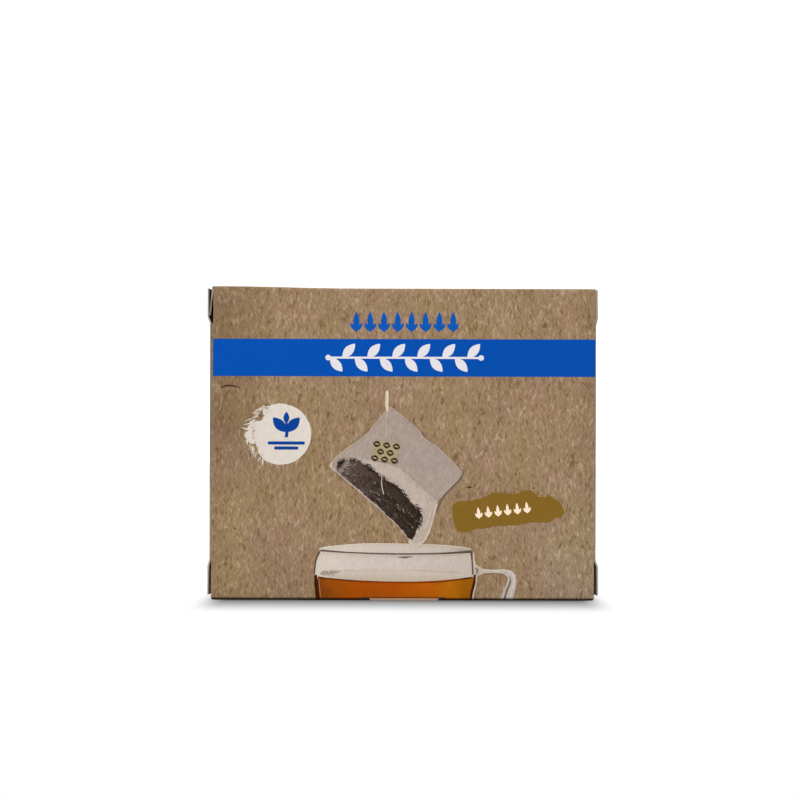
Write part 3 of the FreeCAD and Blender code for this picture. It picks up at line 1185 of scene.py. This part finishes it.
class CARTON_OT_sachet(bpy.types.Operator):
    """Prints the sachet as simple shapes: bag, near face, leaves, seams, string and tag"""

    bl_idname = "carton.sachet"
    bl_label = "Sachet"

    def execute(self, context):
        look = context.scene.carton_picture
        ink = plain_ink("shade_ink", srgb(114, 100, 86), 0.7)
        print_patch(context, "bag_shade", 0, ink, BAG_SHADE, frays=(0.15, 0.6, 2))
        bag = tuple(look.bag)
        stops = [(-24, tinted(bag, 1.12, 1.1, 1.09)), (-6, bag), (18, bag)]
        ink = ink_material("bag_ink", stops, 0.8, 0.09)
        print_patch(context, "bag_body", 1, ink, BAG, 0.5, 3, frays=(0.14, 0.5, 9))
        light = tuple(look.bag_front)
        ink = ink_material("near_ink", [(-24, bag), (-14, light), (4, light)], 0.8, 0.08)
        print_patch(context, "bag_near_face", 2, ink, NEAR_FACE, 0.4, 3)
        self.tea_leaves(context, tuple(look.leaf))
        self.seams(context, look)
        self.tag(context, look)
        return {"FINISHED"}

    def tea_leaves(self, context, dark):
        """The heap of leaves, covered in single twisted leaves that stick out of its upper side."""
        stops = [(-22, srgb(92, 78, 72)), (-4, dark), (5, tinted(dark, 0.7))]
        ink = ink_material("leaf_ink", stops, 0.7, 0.2)
        print_patch(context, "leaf_heap", 3, ink, HEAP, frays=(0.45, 0.3, 21))
        chance = random.Random(4)
        for name, count, layer, tone, edge_share, left_pull in LEAVES:
            twists = bmesh.new()
            for _ in range(count):
                if chance.random() < edge_share:
                    stop = chance.uniform(0, RAGGED_STRETCHES)
                    foot = Vector(HEAP[int(stop)]).lerp(Vector(HEAP[int(stop) + 1]), stop % 1)
                    foot += Vector((chance.gauss(0, 0.3), chance.gauss(0, 0.3)))
                else:
                    foot = HEAP_START.lerp(HEAP_END, chance.random() ** left_pull)
                    foot += HEAP_ACROSS * chance.uniform(-3.0, 2.7)
                wander = 58 if foot.x < -13 else 20
                way = heading(-46 + chance.gauss(0, wander)) * chance.uniform(0.8, 2.4)
                bend = Vector((-way.y, way.x)) * chance.uniform(-0.22, 0.22)
                thick = chance.uniform(0.16, 0.34)
                path = [foot - way / 2, foot + bend, foot + way / 2]
                stroke(twists, path, [thick * 0.4, thick, thick * 0.4], 2)
            ink = plain_ink(name + "_ink", srgb(*tone), 0.85, 0.12)
            print_ink(context, name, twists, layer, ink)

    def seams(self, context, look):
        """Pale seams round the bag and along the fold, and the two bits of string."""
        lines = []
        for path, width in SEAMS:
            lines.append((path, [width * 0.7] + [width] * (len(path) - 2) + [width * 0.7]))
        ink = plain_ink("seam_ink", tinted(look.seam, 0.82), 0.8, 0.15)
        print_lines(context, "bag_seams", 8, ink, *lines)
        print_lines(
            context, "bag_edges", 8, plain_ink("edge_ink", look.seam, 0.85, 0.12),
            (
                [(11.1, -20.6), (9.9, -25.0), (8.2, -30.6), (6.2, -33.8), (3.9, -35.0)],
                [0.5, 0.55, 0.6, 0.5, 0.3],
            ),
            ([(9.4, -21.5), (8.2, -26.0), (6.4, -31.0)], [0.15, 0.35, 0.15]),
            ([(-24.6, -6.6), (-25.0, -7.8), (-23.6, -9.6)], [0.5, 0.7, 0.3]),
        )
        print_lines(
            context, "bag_string", 9, plain_ink("string_ink", srgb(214, 196, 172), 0.85, 0.08),
            ([(-5.85, 17.9), (-5.9, 16.5), (-6.0, 13.0), (-5.8, 10.6)], [0.6, 1.15, 1.1, 0.7]),
        )
        print_lines(
            context, "bag_thread", 9, plain_ink("thread_ink", srgb(190, 176, 160), 0.8, 0.12),
            ([(-5.8, 10.8), (-6.1, 6.0), (-6.2, 1.4)], [0.4, 0.26, 0.22]),
            ([(-7.6, -10.6), (-7.7, -14.0), (-7.0, -17.4)], [0.2, 0.36, 0.3]),
        )

    def tag(self, context, look):
        """A paper tag strewn with small buds."""
        corners = [TAG_CORNER, (-10.95, -5.8), (-2.7, -6.8), (-1.6, -0.2)]
        print_patch(context, "bag_tag", 9, plain_ink("tag_ink", look.tag, 0.85, 0.06), corners, 0.2)
        buds = bmesh.new()
        marks = bmesh.new()
        across = Vector((0.985, -0.13))
        down = Vector((-0.15, -1.0))
        for row in range(3):
            for place in range(3 - row % 2):
                along = place * 3.35 + (0.9 if row % 2 == 0 else 2.5)
                middle = Vector(TAG_CORNER) + across * along + down * (row * 2.4 + 1.15)
                blade(buds, middle.x - 1.3, middle.y + 0.3, 2.6, 2.1, -14)
                blade(marks, middle.x - 0.8, middle.y + 0.2, 1.6, 0.55, -14)
        ink = plain_ink("tag_bud_ink", srgb(52, 42, 24), 0.9, 0.08)
        print_ink(context, "tag_buds", buds, 10, ink)
        print_ink(context, "tag_bud_marks", marks, 11, plain_ink("mark_ink", look.tag, 0.85, 0.06))


# ---------------------------------------------------------------- the printed cup


# The cup runs on past the foot of the board, to this height about its middle.
FOOT = -(MIDDLE.z - CAD_LOW[2]) / MM - 0.6
# The cup's mouth: the middle of the oval, and half its width and height.
MOUTH = (-2.9, -36.0)
MOUTH_SIZE = (25.9, 1.95)
# The bubbles against the glass, each with its radius.
BUBBLES = (
    (-28.0, -44.3, 0.45), (-27.0, -43.8, 0.6), (-26.9, -44.6, 0.4), (-25.6, -43.9, 0.65),
    (-25.7, -44.7, 0.35), (-24.4, -43.5, 0.6), (-24.3, -44.4, 0.45), (-23.1, -43.8, 0.5),
    (-22.0, -43.4, 0.35),
)


class CARTON_OT_cup(bpy.types.Operator):
    """Prints the glass cup as simple shapes: glass, rim, tea, shine and handle"""

    bl_idname = "carton.cup"
    bl_label = "Cup"

    def execute(self, context):
        look = context.scene.carton_picture
        stops = [(-28, tuple(look.glass))] + tones((-8, 206, 195, 185), (22, 196, 184, 173))
        print_patch(context, "cup_glass", 0, ink_material("glass_ink", stops, 0.9, 0.04), [
            (-28.9, -36.2), (-30.1, -39.8), (-30.6, -44.3), (-30.4, -48.8), (-29.9, FOOT),
            (23.4, FOOT), (23.8, -50.8), (24.7, -47.5), (24.9, -44.5), (24.2, -40.0),
            (22.9, -36.8), (0.0, -37.6),
        ])
        mouth = bmesh.new()
        disc(mouth, *MOUTH, MOUTH_SIZE[0], 96, MOUTH_SIZE[1] / MOUTH_SIZE[0])
        stops = tones(
            (-26, 213, 202, 188), (0, 203, 192, 181), (14, 196, 184, 174), (23, 166, 152, 144)
        )
        print_ink(context, "cup_mouth", mouth, 1, ink_material("mouth_ink", stops, 0.92, 0.03))
        self.dipped_tip(context)
        self.tea(context, tuple(look.tea))
        self.bubbles(context)
        self.lines(context)
        self.handle(context)
        return {"FINISHED"}

    def dipped_tip(self, context):
        """The sachet's tip, in front of the far side of the cup's mouth."""
        ink = plain_ink("tip_ink", srgb(192, 180, 168), 0.85, 0.08)
        print_patch(context, "bag_tip", 10, ink, [
            (1.6, -33.2), (4.4, -33.6), (6.9, -33.2), (5.6, -34.4), (4.2, -35.5), (3.4, -35.3),
            (2.4, -34.2),
        ])
        print_lines(
            context, "bag_tip_edges", 11,
            plain_ink("tip_edge_ink", srgb(210, 200, 184), 0.85, 0.08),
            ([(1.5, -33.2), (2.6, -34.4), (3.9, -35.4)], [0.4, 0.5, 0.3]),
            ([(3.9, -35.4), (5.4, -34.4), (6.8, -33.2)], [0.3, 0.55, 0.5]),
        )

    def tea(self, context, amber):
        """The tea, its darker sides and the pale surface seen through the glass."""
        low = (MIDDLE.z - CAD_LOW[2]) / MM
        stops = tones(
            (low - 45.9, 194, 181, 162), (low - 43.6, 203, 189, 177), (low - 42.4, 208, 196, 184)
        )
        ink = ink_material("surface_ink", stops, 0.92, 0.04, axis="Z")
        print_patch(context, "tea_surface", 1, ink, [
            (-29.2, -44.9), (-24.0, -43.6), (-4.0, -42.8), (18.7, -44.0), (23.2, -45.1),
            (14.0, -46.4), (-2.0, -47.0), (-18.0, -46.5),
        ], 2.0)
        stops = tones((-29, 132, 66, 10), (-24, 150, 74, 6), (-14, 164, 77, 2))
        stops.append((-2, amber))
        stops += tones((9, 180, 91, 5), (16, 178, 103, 5), (23, 150, 89, 4))
        print_patch(context, "tea_body", 2, ink_material("tea_ink", stops, 0.94, 0.05), [
            (-29.3, -45.3), (-24.0, -46.1), (-16.0, -46.6), (-6.0, -47.0), (4.0, -47.0),
            (12.0, -46.6), (18.5, -46.0), (23.9, -45.2), (23.7, -48.5), (22.7, FOOT),
            (-28.9, FOOT), (-29.4, -48.5),
        ])
        stops = tones(
            (-29, 66, 26, 4), (-24, 112, 44, 8), (-4, 140, 56, 8), (18, 120, 58, 8), (23, 62, 30, 8)
        )
        print_lines(
            context, "tea_sides", 4, ink_material("tea_side_ink", stops, 0.93, 0.1),
            ([(-30.1, -44.8), (-29.8, -48.0), (-29.3, FOOT)], [0.9, 1.35, 1.2]),
            ([(24.1, -44.6), (23.8, -47.6), (23.0, -50.6), (22.7, FOOT)], [0.6, 0.9, 0.8, 0.6]),
            (
                [(-28.9, -45.7), (-16.0, -46.9), (-2.0, -47.3), (12.0, -47.0), (23.0, -45.6)],
                [0.4, 0.56, 0.45, 0.56, 0.45],
            ),
        )
        print_lines(
            context, "tea_glint", 6, plain_ink("glint_ink", srgb(164, 120, 84), 0.88, 0.1),
            ([(-29.0, -45.6), (-28.7, -49.0), (-28.1, FOOT)], [0.15, 0.32, 0.3]),
        )

    def bubbles(self, context):
        """A few bubbles against the glass, at the left of the tea."""
        froth = bmesh.new()
        shine = bmesh.new()
        for x, z, radius in BUBBLES:
            disc(froth, x, z, radius * 1.25, 16, 0.7)
            disc(shine, x + 0.1, z + 0.1, radius * 0.6, 12, 0.7)
        ink = plain_ink("bubble_ink", srgb(150, 141, 122), 0.85, 0.3)
        print_ink(context, "tea_bubbles", froth, 3, ink)
        film = plain_ink("film_ink", srgb(196, 187, 170), 0.85, 0.1)
        print_ink(context, "bubble_shine", shine, 4, film)

    def lines(self, context):
        """The dark and the pale lines along the rim, the tea and the glass."""
        stops = tones((-28, 98, 78, 62), (0, 112, 92, 78), (22, 92, 74, 64))
        print_lines(
            context, "cup_dark_lines", 5, ink_material("rim_dark_ink", stops, 0.88, 0.14),
            (
                [(-28.4, -36.5), (-18.0, -37.2), (-3.0, -37.6), (12.0, -37.4), (22.7, -36.8)],
                [0.6, 0.4, 0.5, 0.45, 0.8],
            ),
            ([(-28.6, -36.6), (-30.0, -40.0), (-30.5, -44.6)], [0.6, 0.5, 0.4]),
            ([(22.8, -36.8), (23.1, -40.0), (23.4, -44.6)], [0.7, 0.45, 0.45]),
            ([(-2.6, -38.6), (0.3, -38.75), (2.8, -38.5)], [0.1, 0.55, 0.1]),
        )
        stops = tones((-28, 216, 205, 188), (20, 206, 190, 168))
        print_lines(
            context, "cup_pale_lines", 6, ink_material("rim_pale_ink", stops, 0.9, 0.06),
            (
                [(-28.6, -35.9), (-22.0, -34.9), (-11.4, -34.2), (6.0, -34.4), (15.0, -34.9),
                 (22.6, -35.9)],
                [0.5, 0.45, 0.4, 0.4, 0.4, 0.4],
            ),
            (
                [(-27.0, -43.4), (-14.0, -42.9), (-4.2, -42.8), (8.0, -43.1), (18.7, -44.0)],
                [0.12, 0.3, 0.45, 0.35, 0.12],
            ),
            ([(24.8, -44.6), (24.5, -47.6), (23.7, -50.8), (23.4, FOOT)], [0.3, 0.35, 0.35, 0.3]),
            ([(23.6, -37.0), (23.9, -40.2), (24.6, -42.0)], [0.4, 0.5, 0.6]),
            ([(-27.4, -37.5), (-14.0, -38.05), (-3.0, -38.25)], [0.12, 0.28, 0.12]),
            ([(5.0, -38.15), (14.0, -37.9), (21.5, -37.4)], [0.12, 0.28, 0.16]),
        )

    def handle(self, context):
        """The glass handle, cut off by the board's lower crease, with its dark inner line."""
        stops = tones((24, 184, 168, 152), (30, 194, 181, 170), (36, 188, 178, 170))
        print_patch(context, "cup_handle", 1, ink_material("handle_ink", stops, 0.88, 0.08), [
            (23.9, -41.3), (25.4, -41.6), (26.8, -42.6), (30.0, -42.9), (34.0, -42.7),
            (36.4, -43.1), (37.8, -44.4), (38.3, -46.6), (37.9, -49.5), (36.9, FOOT),
            (32.7, FOOT), (33.7, -49.9), (35.2, -47.0), (35.2, -45.4), (34.1, -44.5),
            (30.0, -44.3), (26.8, -44.3), (25.4, -44.9), (24.2, -45.2),
        ])
        print_lines(
            context, "handle_dark_lines", 2,
            plain_ink("handle_dark_ink", srgb(112, 98, 80), 0.85, 0.1),
            ([(35.9, -45.1), (36.1, -47.0), (35.0, -49.9), (33.9, FOOT)], [0.2, 0.55, 0.6, 0.5]),
            ([(24.2, -42.4), (24.9, -43.0), (24.8, -44.3)], [0.25, 0.6, 0.25]),
            ([(27.0, -44.25), (31.0, -44.15), (34.0, -44.4)], [0.2, 0.3, 0.2]),
        )
        print_lines(
            context, "handle_shine", 2, plain_ink("shine_ink", srgb(206, 196, 182), 0.88, 0.06),
            (
                [(26.8, -43.1), (30.5, -43.3), (34.6, -43.2), (36.8, -44.4), (37.4, -46.8),
                 (36.6, -50.0), (35.9, FOOT)],
                [0.2, 0.4, 0.4, 0.45, 0.5, 0.6, 0.5],
            ),
        )


# Dark flecks in the board: where they start, and their length and turn.
FLECKS = (
    (43.4, -15.2, 1.0, 10),
    (-57.6, -29.5, 0.8, 80),
    (-38.0, -2.0, 0.7, 40),
    (20.9, -14.9, 2.4, 0),
)


class CARTON_OT_flecks(bpy.types.Operator):
    """Lays the dark hair and the few flecks that kraft board carries"""

    bl_idname = "carton.flecks"
    bl_label = "Flecks"

    def execute(self, context):
        sheet = bmesh.new()
        hair = [(-62.4, 18.7), (-60.6, 19.4), (-58.2, 19.3), (-55.8, 18.7)]
        stroke(sheet, hair, [0.3, 0.6, 0.5, 0.2])
        for x, z, run, turn in FLECKS:
            blade(sheet, x, z, run, 0.5, turn)
        dark = plain_ink("fleck_ink", srgb(70, 46, 30), 0.85, 0.1)
        print_ink(context, "kraft_flecks", sheet, 0, dark)
        return {"FINISHED"}


# ---------------------------------------------------------------- stage


# How dark the painted shadow on the floor is close before the carton, and how far the darkness of
# its touch reaches.
SHADOW_DEPTH = 0.69
CONTACT_REACH = 14 * MM
# The light of the room on the carton, and how bright the room looks to the camera.
ROOM_LIGHT = 0.45
ROOM_SEEN = 1.2
# The floor lies this far under the carton, so that the two don't share a level.
FLOOR_GAP = 0.02 * MM
FLOOR_HALF = 6


def backdrop_material(name, look):
    """White to the camera and to gloss, but for the carton's soft shadow painted on it."""
    recipe = Recipe(name)
    path = recipe.node("ShaderNodeLightPath").outputs
    seen = recipe.math("MAXIMUM", path["Is Camera Ray"], path["Is Glossy Ray"])
    seen = recipe.math("MAXIMUM", seen, path["Is Transmission Ray"])
    axes = recipe.axes()
    before = recipe.math("SUBTRACT", recipe.math("ABSOLUTE", axes["Y"]), CAD_HIGH[1] / MM)
    # Painted shadow, darkest at the carton's front and back faces.
    shade = recipe.span(before, 0, look.shadow_reach / MM, SHADOW_DEPTH, 0.0)
    contact = recipe.node("ShaderNodeAmbientOcclusion", {"Distance": CONTACT_REACH}, samples=12)
    light = recipe.math("MULTIPLY", recipe.math("SUBTRACT", 1.0, shade), contact.outputs["AO"])
    end = CAD_HIGH[0] / MM
    within = recipe.span(recipe.math("ABSOLUTE", axes["X"]), end - 7, end + 4, 1.0, 0.0)
    dark = recipe.math("MULTIPLY", within, recipe.math("SUBTRACT", 1.0, light))
    bright = recipe.math("MULTIPLY_ADD", dark, -1.0, 1.0)
    glow = recipe.node("ShaderNodeEmission", {"Color": (1, 1, 1), "Strength": bright})
    plain = recipe.node("ShaderNodeBsdfDiffuse", {"Color": (0.8, 0.8, 0.8)})
    return recipe.show(recipe.either(seen, plain, glow))


def room_world(name):
    """Soft grey light all round, and plain white to the camera."""
    room = Recipe(name, world=True)
    path = room.node("ShaderNodeLightPath").outputs
    seen = room.math("MAXIMUM", path["Is Camera Ray"], path["Is Transmission Ray"])
    soft = room.node("ShaderNodeBackground", {"Color": (1, 1, 1), "Strength": ROOM_LIGHT})
    white = room.node("ShaderNodeBackground", {"Color": (1, 1, 1), "Strength": ROOM_SEEN})
    return room.show(room.either(seen, soft, white), "ShaderNodeOutputWorld")


def add_lamp(name, place, size, power):
    """A soft square lamp that points at the middle of the front board."""
    data = bpy.data.lights.new(name, "AREA")
    data.shape = "SQUARE"
    data.size = size
    data.energy = power
    lamp = bpy.data.objects.new(name, data)
    lamp.location = place
    lamp.rotation_euler = (MIDDLE - Vector(place)).to_track_quat("-Z", "Y").to_euler()
    bpy.context.scene.collection.objects.link(lamp)


class CARTON_OT_stage(bpy.types.Operator):
    """Sets the camera, the white floor and the soft lamps"""

    bl_idname = "carton.stage"
    bl_label = "Stage"

    def execute(self, context):
        scene = context.scene
        look = scene.carton_stage
        data = bpy.data.cameras.new("camera")
        camera = bpy.data.objects.new("camera", data)
        scene.collection.objects.link(camera)
        data.sensor_width = 36
        data.lens = data.sensor_width * look.distance / look.view_width
        data.shift_x = -look.aside / look.view_width
        data.shift_y = look.drop / look.view_width
        data.clip_end = 50
        camera.location = (MIDDLE.x, FRONT_Y - look.distance, MIDDLE.z)
        camera.rotation_euler = (math.pi / 2, look.roll, 0)
        scene.camera = camera
        scene.view_settings.view_transform = "Standard"
        bm = bmesh.new()
        bmesh.ops.create_grid(bm, x_segments=1, y_segments=1, size=FLOOR_HALF)
        mesh = bpy.data.meshes.new("floor")
        bm.to_mesh(mesh)
        bm.free()
        mesh.materials.append(backdrop_material("white_floor", look))
        floor = bpy.data.objects.new("floor", mesh)
        floor.location = (0, 0, CAD_LOW[2] - FLOOR_GAP)
        scene.collection.objects.link(floor)
        scene.world = room_world("white_room")
        add_lamp("front_lamp", (-0.25, -1.3, 1.15), 1.2, 15)
        add_lamp("top_lamp", (0.1, 0.1, 1.5), 1.4, 14)
        return {"FINISHED"}


# ---------------------------------------------------------------- panel and run


OPERATORS = (
    CARTON_OT_stage,
    CARTON_OT_boards,
    CARTON_OT_band,
    CARTON_OT_ornaments,
    CARTON_OT_badge,
    CARTON_OT_brush_stroke,
    CARTON_OT_sachet,
    CARTON_OT_cup,
    CARTON_OT_flecks,
)


class CARTON_PT_panel(bpy.types.Panel):
    """Lists the carton's pieces and settings"""

    bl_idname = "CARTON_PT_panel"
    bl_label = "Tea bag carton"
    bl_space_type = "VIEW_3D"
    bl_region_type = "UI"
    bl_category = "Carton"

    def draw(self, context):
        for step in OPERATORS:
            self.layout.operator(step.bl_idname)
        for group in SETTINGS:
            column = self.layout.column(align=True)
            settings = getattr(context.scene, group)
            for name in settings.__annotations__:
                column.prop(settings, name)


def register():
    for group, settings in SETTINGS.items():
        bpy.utils.register_class(settings)
        setattr(bpy.types.Scene, group, bpy.props.PointerProperty(type=settings))
    for kind in (*OPERATORS, CARTON_PT_panel):
        bpy.utils.register_class(kind)


def unregister():
    for kind in reversed((*OPERATORS, CARTON_PT_panel)):
        bpy.utils.unregister_class(kind)
    for group, settings in reversed(SETTINGS.items()):
        delattr(bpy.types.Scene, group)
        bpy.utils.unregister_class(settings)


def main():
    register()
    for step in OPERATORS:
        section, name = step.bl_idname.split(".")
        getattr(getattr(bpy.ops, section), name)()


if __name__ == "__main__":
    main()
